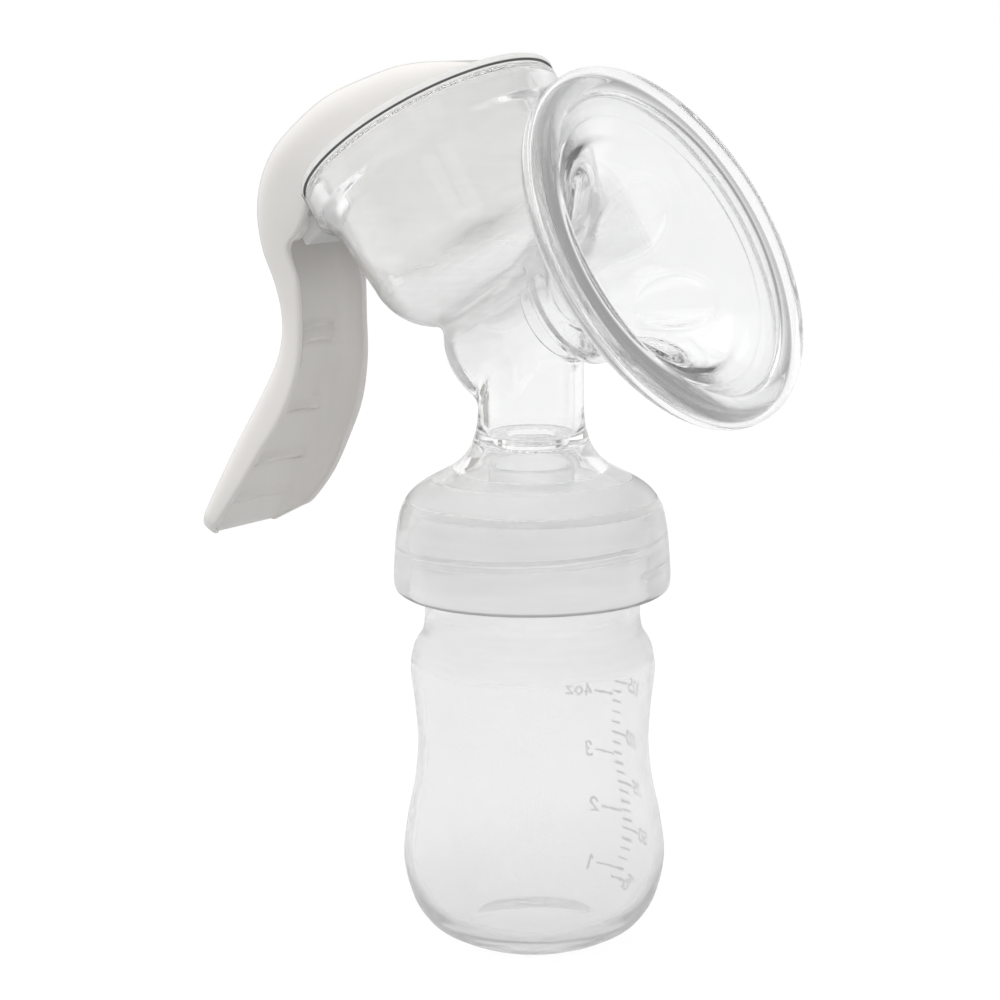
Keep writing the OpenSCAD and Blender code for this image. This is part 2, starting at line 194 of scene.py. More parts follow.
def surface_net(values, low, step):
    """Closed quad mesh round the negative part of a grid of signed distances."""
    cells = tuple(n - 1 for n in values.shape)
    total = np.zeros(cells + (3,), np.float32)
    count = np.zeros(cells, np.float32)
    crossings = []
    for axis in range(3):
        u, v = [k for k in range(3) if k != axis]
        a = np.take(values, range(values.shape[axis] - 1), axis)
        b = np.take(values, range(1, values.shape[axis]), axis)
        hit = (a < 0) != (b < 0)
        t = np.where(hit, a / np.where(hit, a - b, 1), 0).astype(np.float32)
        crossings.append((axis, u, v, hit, a < 0))
        for du in (0, 1):
            for dv in (0, 1):
                window = [slice(None)] * 3
                window[u] = slice(du, du + cells[u])
                window[v] = slice(dv, dv + cells[v])
                h = hit[tuple(window)]
                count += h
                total[..., axis] += t[tuple(window)]
                total[..., u] += h * du
                total[..., v] += h * dv
    used = count > 0
    index = np.full(cells, -1, np.int64)
    index[used] = np.arange(used.sum())
    points = np.argwhere(used) + total[used] / count[used][:, None]
    points = np.asarray(low) + points * step
    faces = []
    for axis, u, v, hit, inside in crossings:
        where = np.argwhere(hit)
        quad = []
        for du, dv in ((1, 1), (0, 1), (0, 0), (1, 0)):
            c = where.copy()
            c[:, u] -= du
            c[:, v] -= dv
            quad.append(index[tuple(c.T)])
        quad = np.stack(quad, 1)
        keep = inside[tuple(where.T)] != (axis == 1)
        quad[~keep] = quad[~keep][:, ::-1]
        faces.append(quad)
    return points, np.concatenate(faces)


def slope_of(field, p, h=0.06):
    g = np.empty_like(p)
    for k in range(3):
        d = np.zeros(3)
        d[k] = h
        g[:, k] = (field(p + d) - field(p - d)) / (2 * h)
    return g


def sampled(field, low, count, step, skip=4):
    """The field on a fine grid. Only places near the surface are worked out exactly;
    the rest keeps the value of a coarse grid."""
    blocks = [n // skip + 1 for n in count]
    axes = [low[k] + skip * step * np.arange(blocks[k] + 1) for k in range(3)]
    coarse = field(np.stack(np.meshgrid(*axes, indexing="ij"), -1)).astype(np.float32)
    near = np.full(blocks, np.inf, np.float32)
    for corner in np.ndindex(2, 2, 2):
        window = tuple(slice(c, c + n) for c, n in zip(corner, blocks))
        near = np.minimum(near, np.abs(coarse[window]))
    close = near < skip * step * 1.9
    values = coarse[:-1, :-1, :-1]
    for k in range(3):
        values = np.repeat(values, skip, k)
        close = np.repeat(close, skip, k)
    values = values[:count[0], :count[1], :count[2]].copy()
    close = close[:count[0], :count[1], :count[2]]
    for i in range(count[0]):
        j, k = np.nonzero(close[i])
        if len(j):
            p = np.column_stack([np.full(len(j), low[0] + i * step), low[1] + j * step, low[2] + k * step])
            values[i, j, k] = field(p)
    return values


def pulled(field, points, step):
    """Points moved on to the surface of a field, and the outward normals there."""
    for _ in range(3):
        g = slope_of(field, points)
        size = np.maximum((g * g).sum(1), 0.2)
        move = -(field(points) / size)[:, None] * g
        limit = np.maximum(np.linalg.norm(move, axis=1) / (0.4 * step), 1)[:, None]
        points = points + move / limit
    normals = slope_of(field, points, 0.12)
    return points, normals / np.maximum(np.linalg.norm(normals, axis=1), 1e-9)[:, None]


def split_bends(points, faces, normals, turn):
    """The same closed mesh with every edge split that turns by more than an angle."""
    mesh = bpy.data.meshes.new("bends")
    mesh.from_pydata(points.tolist(), [], [list(map(int, f)) for f in faces])
    bm = bmesh.new()
    bm.from_mesh(mesh)
    bpy.data.meshes.remove(mesh)
    bm.edges.ensure_lookup_table()
    ends = np.array([[v.index for v in e.verts] for e in bm.edges])
    bent = (normals[ends[:, 0]] * normals[ends[:, 1]]).sum(1) < math.cos(turn)
    edges = [bm.edges[i] for i in np.nonzero(bent)[0]]
    bmesh.ops.subdivide_edges(bm, edges=edges, cuts=1, use_grid_fill=True)
    bmesh.ops.triangulate(bm, faces=[f for f in bm.faces if len(f.verts) > 4])
    bm.verts.index_update()
    points = np.array([v.co[:] for v in bm.verts])
    faces = [[v.index for v in f.verts] for f in bm.faces]
    bm.free()
    return points, faces


def skin_of(field, low, high, step):
    """Mesh of a signed-distance field with its points on the true surface, and the normals there."""
    count = [int(math.ceil((b - a) / step)) + 1 for a, b in zip(low, high)]
    points, faces = surface_net(sampled(field, low, count, step), low, step)
    points, normals = pulled(field, points, step)
    points, faces = split_bends(points, faces, normals, math.radians(13))
    points, normals = pulled(field, points, step / 2)
    return points, faces, normals


# ---- mesh helpers ----

def new_piece(name, points, faces, body, material):
    """A mesh piece from points in millimetres, riding on a CAD body."""
    mesh = bpy.data.meshes.new(name)
    points = np.asarray(points, float) * MM
    mesh.from_pydata(points.tolist(), [], [list(map(int, f)) for f in faces])
    mesh.update()
    mesh.polygons.foreach_set("use_smooth", [True] * len(mesh.polygons))
    piece = bpy.data.objects.new(name, mesh)
    bpy.context.scene.collection.objects.link(piece)
    mesh.materials.append(material)
    if body:
        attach(piece, body)
    return piece


def stands_for(node):
    """The piece is shown in place of a CAD node, which is hidden."""
    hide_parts(node)


def evenly(count):
    """Angles that go round once in equal steps."""
    return 2 * np.pi * np.arange(count) / count


def ring_faces(rings, count, closed=False):
    """Quads between neighbouring rings of points, and from the last to the first when closed."""
    faces = []
    for j in range(rings if closed else rings - 1):
        k = (j + 1) % rings
        for i in range(count):
            n = (i + 1) % count
            faces.append((j * count + i, j * count + n, k * count + n, k * count + i))
    return faces


def lathe(name, outline, body, material, origin=BASE, axes=UPRIGHT, around=evenly(192), shift=None):
    """Closed solid of revolution. outline runs from the axis, round the section, back to the axis
    (or is a closed ring when no point touches the axis). shift(r, z, a, k) may move points."""
    outline = np.asarray(outline, float)
    ring = outline[0, 0] > 1e-6
    count = len(around)
    body_line = outline if ring else outline[1:-1]
    m = len(body_line)
    r = np.repeat(body_line[:, :1], count, 1)
    z = np.repeat(body_line[:, 1:], count, 1)
    ang = np.repeat(np.asarray(around)[None], m, 0)
    if shift is not None:
        r, z = shift(r, z, ang, np.repeat(np.arange(m)[:, None], count, 1))
    local = np.stack([r * np.cos(ang), r * np.sin(ang), z], -1).reshape(-1, 3)
    faces = ring_faces(m, count, ring)
    if not ring:
        base = len(local)
        local = np.concatenate([local, [[0, 0, outline[0, 1]], [0, 0, outline[-1, 1]]]])
        for i in range(count):
            n = (i + 1) % count
            faces.append((base, n, i))
            faces.append((base + 1, (m - 1) * count + i, (m - 1) * count + n))
    points = origin + local @ axes
    piece = new_piece(name, points, faces, body, material)
    outward(piece)
    return piece


def outward(piece):
    """Face normals point out of the solid."""
    mesh = piece.data
    bm = bmesh.new()
    bm.from_mesh(mesh)
    bmesh.ops.recalc_face_normals(bm, faces=bm.faces)
    if bm.calc_volume(signed=True) < 0:
        bmesh.ops.reverse_faces(bm, faces=bm.faces)
    bm.to_mesh(mesh)
    bm.free()


def resample(line, step):
    """Same open line with points every step millimetres; corners keep a point."""
    line = np.asarray(line, float)
    out = [line[0]]
    for a, b in zip(line[:-1], line[1:]):
        n = max(1, int(round(np.linalg.norm(b - a) / step)))
        out += [a + (b - a) * k / n for k in range(1, n + 1)]
    return np.array(out)


def round_corners(line, radius, n=4, closed=False):
    """Replaces each corner of a polyline by a small arc."""
    line = np.asarray(line, float)
    out = []
    size = len(line)
    for i in range(size):
        if not closed and i in (0, size - 1):
            out.append(line[i])
            continue
        p, a, b = line[i], line[i - 1], line[(i + 1) % size]
        u, v = a - p, b - p
        lu, lv = np.linalg.norm(u), np.linalg.norm(v)
        cos = np.dot(u, v) / max(lu * lv, 1e-9)
        if cos < -0.97:
            out.append(p)
            continue
        d = min(radius, lu * 0.45, lv * 0.45)
        p0, p1 = p + u / lu * d, p + v / lv * d
        for t in np.linspace(0, 1, n + 1):
            out.append((1 - t) ** 2 * p0 + 2 * t * (1 - t) * p + t * t * p1)
    return np.array(out)


# ---- materials ----

def node_tree(name):
    mat = bpy.data.materials.new(name)
    mat.use_nodes = True
    tree = mat.node_tree
    tree.nodes.clear()
    return mat, tree


def add(tree, kind, **values):
    node = tree.nodes.new(kind)
    for key, value in values.items():
        if key in node.inputs:
            node.inputs[key].default_value = value
        else:
            setattr(node, key, value)
    return node


def noise(tree, scale, detail=2.0, stretch=(1, 1, 1)):
    coord = add(tree, "ShaderNodeTexCoord")
    mapping = add(tree, "ShaderNodeMapping")
    mapping.inputs["Scale"].default_value = stretch
    texture = add(tree, "ShaderNodeTexNoise", Scale=scale, Detail=detail)
    tree.links.new(coord.outputs["Object"], mapping.inputs["Vector"])
    tree.links.new(mapping.outputs["Vector"], texture.inputs["Vector"])
    return texture


def ranged(tree, source, low, high):
    node = add(tree, "ShaderNodeMapRange")
    node.inputs["To Min"].default_value = low
    node.inputs["To Max"].default_value = high
    tree.links.new(source, node.inputs["Value"])
    return node.outputs["Result"]


def bump(tree, source, strength, distance):
    node = add(tree, "ShaderNodeBump", Strength=strength, Distance=distance)
    tree.links.new(source, node.inputs["Height"])
    return node.outputs["Normal"]


def eased(tree, source, start, end, low, high):
    """low before start, high after end, and a smooth step between."""
    node = add(tree, "ShaderNodeMapRange", interpolation_type="SMOOTHSTEP")
    for key, value in (("From Min", start), ("From Max", end), ("To Min", low), ("To Max", high)):
        node.inputs[key].default_value = value
    tree.links.new(source, node.inputs["Value"])
    return node.outputs["Result"]


def blend_shaders(tree, factor, first, second):
    """first where the factor is 0 and second where it is 1."""
    node = add(tree, "ShaderNodeMixShader")
    tree.links.new(factor, node.inputs["Fac"])
    tree.links.new(first.outputs[0], node.inputs[1])
    tree.links.new(second.outputs[0], node.inputs[2])
    return node


def shown(tree, shader, kind="Material"):
    """Links a shader to the tree's output."""
    out = add(tree, "ShaderNodeOutput" + kind)
    tree.links.new(shader.outputs[0], out.inputs["Surface"])


def toward(tree, output, direction):
    """How far a texture coordinate lies along a direction."""
    coord = add(tree, "ShaderNodeTexCoord")
    node = add(tree, "ShaderNodeVectorMath", operation="DOT_PRODUCT")
    node.inputs[1].default_value = direction
    tree.links.new(coord.outputs[output], node.inputs[0])
    return node.outputs["Value"]


def tones(tree, source, dark, light):
    """A grey value turned into a colour between two others."""
    ramp = add(tree, "ShaderNodeValToRGB")
    ramp.color_ramp.elements[0].color = (*dark, 1)
    ramp.color_ramp.elements[1].color = (*light, 1)
    tree.links.new(source, ramp.inputs["Fac"])
    return ramp.outputs["Color"]


def times(tree, a, b):
    node = add(tree, "ShaderNodeMath", operation="MULTIPLY")
    for source, slot in ((a, 0), (b, 1)):
        if isinstance(source, (int, float)):
            node.inputs[slot].default_value = source
        else:
            tree.links.new(source, node.inputs[slot])
    return node.outputs[0]


def plus(tree, a, b):
    node = add(tree, "ShaderNodeMath", operation="ADD")
    tree.links.new(a, node.inputs[0])
    tree.links.new(b, node.inputs[1])
    return node.outputs[0]


def zone(tree, origin, axis, bore, reach, low, high, soft=0.6):
    """1 inside a tube round an axis, between two heights along it, all in millimetres."""
    coord = add(tree, "ShaderNodeTexCoord")
    local = add(tree, "ShaderNodeVectorMath", operation="SUBTRACT")
    local.inputs[1].default_value = origin * MM
    tree.links.new(coord.outputs["Object"], local.inputs[0])
    along = add(tree, "ShaderNodeVectorMath", operation="DOT_PRODUCT")
    along.inputs[1].default_value = axis
    tree.links.new(local.outputs[0], along.inputs[0])
    flat = add(tree, "ShaderNodeVectorMath", operation="CROSS_PRODUCT")
    flat.inputs[1].default_value = axis
    tree.links.new(local.outputs[0], flat.inputs[0])
    length = add(tree, "ShaderNodeVectorMath", operation="LENGTH")
    tree.links.new(flat.outputs[0], length.inputs[0])
    height = along.outputs["Value"]
    near = eased(tree, length.outputs["Value"], (reach - soft) * MM, reach * MM, 1, 0)
    if bore > 0:
        outer = eased(tree, length.outputs["Value"], bore * MM, (bore + soft) * MM, 0, 1)
        near = times(tree, near, outer)
    over = eased(tree, height, (low - soft) * MM, low * MM, 0, 1)
    under = eased(tree, height, high * MM, (high + soft) * MM, 1, 0)
    return times(tree, near, times(tree, over, under))


CLEAR_EDGE = 0.62       # how edge-on a clear surface is when it starts to dim
SHADOW_TINT = (0.95, 0.95, 0.95, 1)


def clear_material(name, tint, rough, ior, milk, milk_tint, wave=0.12, edge=0.8, zones=(), gap_shade=None):
    """Clear moulded plastic or silicone: faint flow waves, slight haze and a light shadow.
    edge is how much colour is left where painted shade darkens the surface seen edge-on. Each zone adds
    (roughness, milkiness) inside a tube; gap_shade is a tube painted dark as the shade in a gap or along an
    edge."""
    mat, tree = node_tree(name)
    wave_tex = noise(tree, 60, 3)
    haze_tex = noise(tree, 240, 2)
    rough_value = ranged(tree, haze_tex.outputs["Fac"], rough * 0.6, rough * 1.5)
    milk_value = ranged(tree, wave_tex.outputs["Fac"], milk * 0.8, milk * 1.2)
    streak_tex = noise(tree, 22, 3, stretch=(1, 1, 7))
    streaks = ranged(tree, streak_tex.outputs["Fac"], 0.3, 1.7)
    for place, more_rough, more_milk in zones:
        inside = zone(tree, *place)
        rough_value = plus(tree, rough_value, times(tree, inside, more_rough))
        milk_value = plus(tree, milk_value, times(tree, times(tree, inside, streaks), more_milk))
    glass = add(tree, "ShaderNodeBsdfPrincipled")
    # painted shade: the glass and milk colours darken where the surface is seen edge-on
    tree.links.new(edge_darkened(tree, tint, CLEAR_EDGE, edge), glass.inputs["Base Color"])
    glass.inputs["Transmission Weight"].default_value = 1
    glass.inputs["IOR"].default_value = ior
    tree.links.new(rough_value, glass.inputs["Roughness"])
    tree.links.new(bump(tree, wave_tex.outputs["Fac"], wave, 0.0006), glass.inputs["Normal"])
    cloudy = add(tree, "ShaderNodeBsdfTranslucent")
    soft = add(tree, "ShaderNodeBsdfDiffuse")
    for part in (cloudy, soft):
        tree.links.new(edge_darkened(tree, milk_tint, CLEAR_EDGE, edge), part.inputs["Color"])
    both = add(tree, "ShaderNodeMixShader", Fac=0.5)
    tree.links.new(cloudy.outputs[0], both.inputs[1])
    tree.links.new(soft.outputs[0], both.inputs[2])
    body = blend_shaders(tree, milk_value, glass, both)
    if gap_shade:
        # painted shade: a near-black diffuse ring drawn where a gap or edge falls in shade
        dark = add(tree, "ShaderNodeBsdfDiffuse", Color=(0.02, 0.02, 0.02, 1))
        body = blend_shaders(tree, times(tree, zone(tree, *gap_shade[0]), gap_shade[1]), body, dark)
    ray = add(tree, "ShaderNodeLightPath")
    clear = add(tree, "ShaderNodeBsdfTransparent", Color=SHADOW_TINT)
    final = blend_shaders(tree, ray.outputs["Is Shadow Ray"], body, clear)
    shown(tree, final)
    return mat


def edge_darkened(tree, color, start, left):
    """A colour, or the output of a node, darkened by painted shade where the surface is seen edge-on."""
    facing = add(tree, "ShaderNodeLayerWeight", Blend=0.5)
    shaded = add(tree, "ShaderNodeVectorMath", operation="SCALE")
    if isinstance(color, tuple):
        shaded.inputs[0].default_value = color
    else:
        tree.links.new(color, shaded.inputs[0])
    tree.links.new(eased(tree, facing.outputs["Facing"], start, 1.0, 1.0, left), shaded.inputs["Scale"])
    return shaded.outputs[0]


def solid_material(name, color, rough):
    """Opaque or waxy moulded plastic with a fine grain, slow colour variation and painted shade where it is
    seen edge-on.
    """
    mat, tree = node_tree(name)
    grain_tex = noise(tree, 900, 3)
    tone_tex = noise(tree, 18, 2)
    main = add(tree, "ShaderNodeBsdfPrincipled")
    tone = tones(tree, tone_tex.outputs["Fac"], [c * 0.965 for c in color], color)
    polish = ranged(tree, tone_tex.outputs["Fac"], rough * 0.85, rough * 1.15)
    # painted shade: the colour darkens where the surface is seen edge-on
    tree.links.new(edge_darkened(tree, tone, 0.72, 0.5), main.inputs["Base Color"])
    tree.links.new(polish, main.inputs["Roughness"])
    tree.links.new(bump(tree, grain_tex.outputs["Fac"], 0.06, 0.0002), main.inputs["Normal"])
    main.inputs["Subsurface Weight"].default_value = 0.1
    main.inputs["Subsurface Radius"].default_value = (0.004, 0.0036, 0.003)
    main.inputs["Subsurface Scale"].default_value = 1.0
    main.inputs["IOR"].default_value = 1.49
    shown(tree, main)
    return mat


UP_AXIS = UPRIGHT[2]

# Rougher, milkier places: ((origin, axis, inner and outer radius, low, high, soft edge),
# more roughness, more milkiness).
# A gap shade is the same with one darkness: a dark line painted as shade in a gap or along an edge. They are
# fixed in the rest frame.
COLLAR_SKIN = ((BASE, UP_AXIS, 0, 40, 80, 106), 0.05, 0.16)
COLLAR_LINING = ((BASE, UP_AXIS, 0, 29.5, 80, 110), 0.3, 0.45)
BOWL_SKIN = ((RIM_ORIGIN, BOWL_AXES[2], 0, 34, -46, -2), 0.03, 0.14)
BOWL_FOOT = ((RIM_ORIGIN, BOWL_AXES[2], 0, 36, -50, -34, 6), 0.08, 0.16)
BOWL_HEEL = ((RIM_ORIGIN, -BOWL_AXES[0], 0, 24, 27, 60, 3), 0.25, 0.3)
HORN_EDGE = ((ORIGIN, FUNNEL_AXES[2], 0, 50, 38, 46, 3), 0.2, 0.04)
# painted shade: dark line where the diaphragm's lip sits on the bowl's rim
LIP_GAP_SHADE = ((RIM_ORIGIN, BOWL_AXES[2], RIM_R - 0.7, RIM_R + 2, -1, 0.5, 0.25), 0.9)
# painted shade: dark line along the collar's bottom edge
COLLAR_EDGE_SHADE = ((BASE, UP_AXIS, 29.5, 36, 83, 84.3, 0.5), 0.45)
CLEAR = clear_material("clear_plastic", (0.99, 0.992, 0.992), 0.015, 1.47, 0.008, (0.86, 0.86, 0.86),
                       wave=0.03, edge=0.4, gap_shade=COLLAR_EDGE_SHADE,
                       zones=(COLLAR_SKIN, COLLAR_LINING, BOWL_SKIN, BOWL_FOOT, BOWL_HEEL, HORN_EDGE))
LUG = clear_material("clear_plastic_frosted", (0.98, 0.98, 0.98), 0.4, 1.47, 0.75, (0.93, 0.93, 0.925))
BOTTLE_SHOULDER = ((BASE, UP_AXIS, 0, 40, 73, 73, 9), 0.03, 0.2)
BOTTLE = clear_material("bottle_plastic", (0.982, 0.983, 0.984), 0.03, 1.28, 0.24, (0.8, 0.8, 0.8),
                        wave=0.05, edge=0.9, zones=(BOTTLE_SHOULDER,))
# painted shade: the raised scale lines are tinted dark grey for the darkening that refraction draws at their
# edges
SCALE_SHADE = clear_material("bottle_scale_shade", (0.4, 0.4, 0.4), 0.2, 1.28, 0.6, (0.25, 0.25, 0.25))
CUSHION = clear_material("cushion_silicone", (0.994, 0.995, 0.997), 0.02, 1.41, 0.015, (0.97, 0.97, 0.97),
                         wave=0.03, edge=0.6)
MILKY = clear_material("milky_silicone", (0.985, 0.985, 0.98), 0.35, 1.41, 0.6, (0.97, 0.97, 0.965),
                       gap_shade=LIP_GAP_SHADE)
VALVE = clear_material("valve_silicone", (0.985, 0.985, 0.985), 0.35, 1.41, 0.3, (0.96, 0.96, 0.96))
WHITE = solid_material("handle_plastic", (0.885, 0.866, 0.84), 0.38)
ROD = solid_material("rod_plastic", (0.84, 0.835, 0.82), 0.42)


# ---- bottle ----

def ridge(offset, width, height):
    """Rounded thread profile at a distance from its crest."""
    t = np.clip(np.abs(offset) / width, 0, 1)
    return height * (0.5 + 0.5 * np.cos(np.pi * t))


def thread_height(z, angle, start, turns, height):
    """How far a single-start right-hand thread stands out at this height and angle."""
    turn = angle / (2 * np.pi)
    out = np.zeros_like(z)
    for n in range(-1, 3):
        along = turn + n
        crest = start + THREAD_PITCH * along
        fade = np.clip(along / 0.08, 0, 1) * np.clip((turns - along) / 0.08, 0, 1)
        out = np.maximum(out, ridge(z - crest, 1.5, height) * fade)
    return out


BOTTLE_LINE = smooth([
    [17, 0], [21, 1.8], [25.2, 4.6], [28.9, 10.4], [BELLY_R, 19.5], [29.9, 29],
    [28, 38.5], [WAIST_R, 47.5], [27.8, 57], [28.7, 65], [27.9, 70.4],
    [25.8, 74.2], [NECK_R, 77.6]], 8)


def bottle_radius(z):
    return np.interp(z, BOTTLE_LINE[:, 1], BOTTLE_LINE[:, 0])


# Pen strokes of the scale's figures in a box 0.6 wide and 1 high.
STROKES = {
    "0": [arc(0, 0, 1, 0, 360, 25) * [0.27, 0.5] + [0.3, 0.5]],
    "1": [[[0.12, 0.8], [0.34, 1], [0.34, 0]]],
    "2": [joined(arc(0.3, 0.72, 0.27, 170, -35, 11), [[0.04, 0], [0.58, 0]])],
    "3": [joined(arc(0.28, 0.75, 0.25, 150, -80, 10), arc(0.28, 0.25, 0.26, 80, -150, 10))],
    "4": [[[0.46, 0], [0.46, 1], [0.02, 0.3], [0.6, 0.3]]],
    "5": [joined([[0.54, 1], [0.12, 1], [0.08, 0.55]], arc(0.28, 0.31, 0.3, 115, -145, 12))],
    "7": [[[0.04, 1], [0.58, 1], [0.22, 0]]],
    "o": [arc(0.3, 0.35, 0.28, 0, 360, 21)],
    "z": [[[0.06, 0.62], [0.54, 0.62], [0.04, 0.05], [0.56, 0.05]]]}
SCALE_AZ = 77.0
SCALE_Z = 6.5
MM_PER_ML = 0.505
ML_PER_OZ = 29.57
MM_PER_DEGREE = 0.5     # round the bottle, near enough
FIRST_ML = 25


def scale_strokes():
    """Every raised line of the scale, as polylines in (degrees round the bottle, height)."""
    lines = []
    figure_h, figure_w, pitch, squeeze = 3.1, 4.2, 0.8, 0.72
    long_mark, short_mark, oz_gap, oz_mark = 11, 6, 1.2, 13

    def write(text, start, z, size):
        for n, letter in enumerate(text):
            for stroke in STROKES[letter]:
                stroke = np.asarray(stroke, float)
                az = start + (n * pitch + stroke[:, 0]) * figure_w * size / MM_PER_DEGREE * squeeze
                lines.append(np.stack([az, z + (stroke[:, 1] - 0.5) * figure_h * size], 1))

    for v in range(FIRST_ML, 130, 5):
        z = SCALE_Z + (v - FIRST_ML) * MM_PER_ML
        width = long_mark if v % 25 == 0 else short_mark
        lines.append(np.array([[SCALE_AZ - width, z], [SCALE_AZ, z]]))
        if v % 25 == 0:
            text = str(v)
            length = (len(text) * pitch - 0.2) * figure_w / MM_PER_DEGREE * squeeze
            write(text, SCALE_AZ - width - 1.8 - length, z, 1)
    for v in range(1, 5):
        z = SCALE_Z + (v * ML_PER_OZ - FIRST_ML) * MM_PER_ML
        lines.append(np.array([[SCALE_AZ + oz_gap, z], [SCALE_AZ + oz_mark, z]]))
        write("4oz" if v == 4 else str(v), SCALE_AZ + 15.5, z, 1.12)
    return lines


def scale_height(az, z):
    """How far the scale's lines stand out of the bottle at an azimuth in degrees and a height."""
    stand, half_width = 0.35, 0.34
    near = np.full(az.shape, 9.0)
    for line in scale_strokes():
        line = line * [MM_PER_DEGREE, 1]
        x = az * MM_PER_DEGREE
        box = ((x > line[:, 0].min() - 1) & (x < line[:, 0].max() + 1)
               & (z > line[:, 1].min() - 1) & (z < line[:, 1].max() + 1))
        px, pz = x[box], z[box]
        best = near[box]
        for a, b in zip(line[:-1], line[1:]):
            d = b - a
            t = np.clip(((px - a[0]) * d[0] + (pz - a[1]) * d[1]) / max(d @ d, 1e-9), 0, 1)
            best = np.minimum(best, np.hypot(px - a[0] - t * d[0], pz - a[1] - t * d[1]))
        near[box] = best
    t = np.clip(1.25 - near / half_width, 0, 1)
    return stand * t * t * (3 - 2 * t)


def build_bottle():
    push_up_r, push_up = 15.0, 2.2
    dome_r = (push_up_r ** 2 + push_up ** 2) / (2 * push_up)
    r = np.linspace(0, push_up_r, 16)
    under = np.stack([r, push_up - dome_r + np.sqrt(dome_r ** 2 - r ** 2)], 1)
    w = BOTTLE_WALL
    inner_line = smooth([
        [15, 4], [20.6, 5.4], [24.4, 8.2], [27.4, 12.8], [BELLY_R - w, 20],
        [29.9 - w, 29], [28 - w, 38.5], [WAIST_R - w, 47.5], [27.8 - w, 57],
        [28.7 - w, 64.6], [27.9 - w, 69.4], [25.8 - w, 73.2], [NECK_R - w, 77]], 8)
    scale_zone = resample(BOTTLE_LINE, 0.28)
    neck = resample([[NECK_R, 77.8], [NECK_R, LIP_Z - 0.8]], 0.35)
    lip = [[NECK_R - 0.3, LIP_Z - 0.2], [NECK_R - 0.8, LIP_Z], [NECK_R - w + 0.8, LIP_Z],
           [NECK_R - w + 0.2, LIP_Z - 0.3], [NECK_R - w, LIP_Z - 0.9]]
    inside = resample(inner_line[::-1], 0.8)
    floor = [[13, 4.02], [11, 4.1], [6, 4.5], [0, 4.6]]
    line = joined(under, [[15.4, 0.02], [16.2, 0]], scale_zone, neck, lip, inside, floor)
    first = len(under) + 2
    last = first + len(scale_zone)
    fine = np.arange(52, 114, 0.5)
    coarse = np.concatenate([np.arange(0, 52, 2), np.arange(114, 360, 2)])
    around = np.radians(np.sort(np.concatenate([fine, coarse])))

    def shift(r, z, a, k):
        on_neck = (k >= last) & (r > NECK_R - 0.2) & (z > 80) & (z < LIP_Z - 1)
        rise = thread_height(z, a, THREAD_Z, THREAD_TURNS, 2.2)
        marks = scale_height(np.degrees(a), z)
        on_scale = (k >= first) & (k < last)
        return r + np.where(on_neck, rise, 0) + np.where(on_scale, marks, 0), z

    piece = lathe("bottle_shell", line, "bottle_body", BOTTLE, around=around, shift=shift)
    mesh = piece.data
    # the raised scale lines take the dark grey painted-shade material
    mesh.materials.append(SCALE_SHADE)
    centres = np.array([p.center for p in mesh.polygons]) / MM
    az = np.degrees(np.arctan2(centres[:, 1], centres[:, 0])) % 360
    out = np.hypot(centres[:, 0], centres[:, 1]) > bottle_radius(centres[:, 2]) - 0.5
    raised = (scale_height(az, centres[:, 2]) > 0.12) & out
    mesh.polygons.foreach_set("material_index", raised.astype(np.int32))
    stands_for("bottle")


# ---- clear pump body ----

COLLAR_LINE = smooth([
    [30.6, COLLAR_Z], [31.9, 84.7], [32.3, 87.2], [32, 93], [31.4, 99], [30.3, 103.6],
    [27.8, 107.3], [24.2, 109.8], [20.2, 111.9], [16.8, 114.2], [14.3, 117.3],
    [12.8, 121.5], [TUBE_R, 126]], 6)
DOME_LINE = smooth([
    [23.4, LEDGE_Z], [22.4, 105.6], [18.6, 109], [15, 111.4], [12.4, 114.2], [11.2, 118]], 6)
HORN_LINE = smooth([
    [15, THROAT_S], [17.4, 19.5], [22.6, 27], [29.6, 34], [36.4, 39.2],
    [MOUTH_R - 1, MOUTH_S - 2]], 6)
HORN_BORE = smooth([
    [12.4, THROAT_S + 1.2], [14.6, 20.6], [19.6, 28], [26.6, 35.2], [33.6, 40.5],
    [MOUTH_R - 3, MOUTH_S]], 6)


BOWL_R = 29.6           # under the band
BAND_FOOT = -11.5       # where the band has run out into the wall


def bowl_outline(grow):
    """Half section of the bowl below its band, from the top centre round to the bottom centre."""
    knuckle_x, knuckle_h, knuckle_r = 12.8, -26.5, 15
    knuckle = arc(knuckle_x, knuckle_h, knuckle_r + grow, 0, -90, 14)
    wall = [[BOWL_R + grow, 0], [BOWL_R + grow, BAND_FOOT]]
    return joined(wall, knuckle, [[0, knuckle_h - knuckle_r - grow]])


def cylinder(r, low, high):
    """Half section of a plain cylinder about the bottle's axis."""
    return Turned([[0, low], [r, low], [r, high], [0, high]], BASE, UPRIGHT)


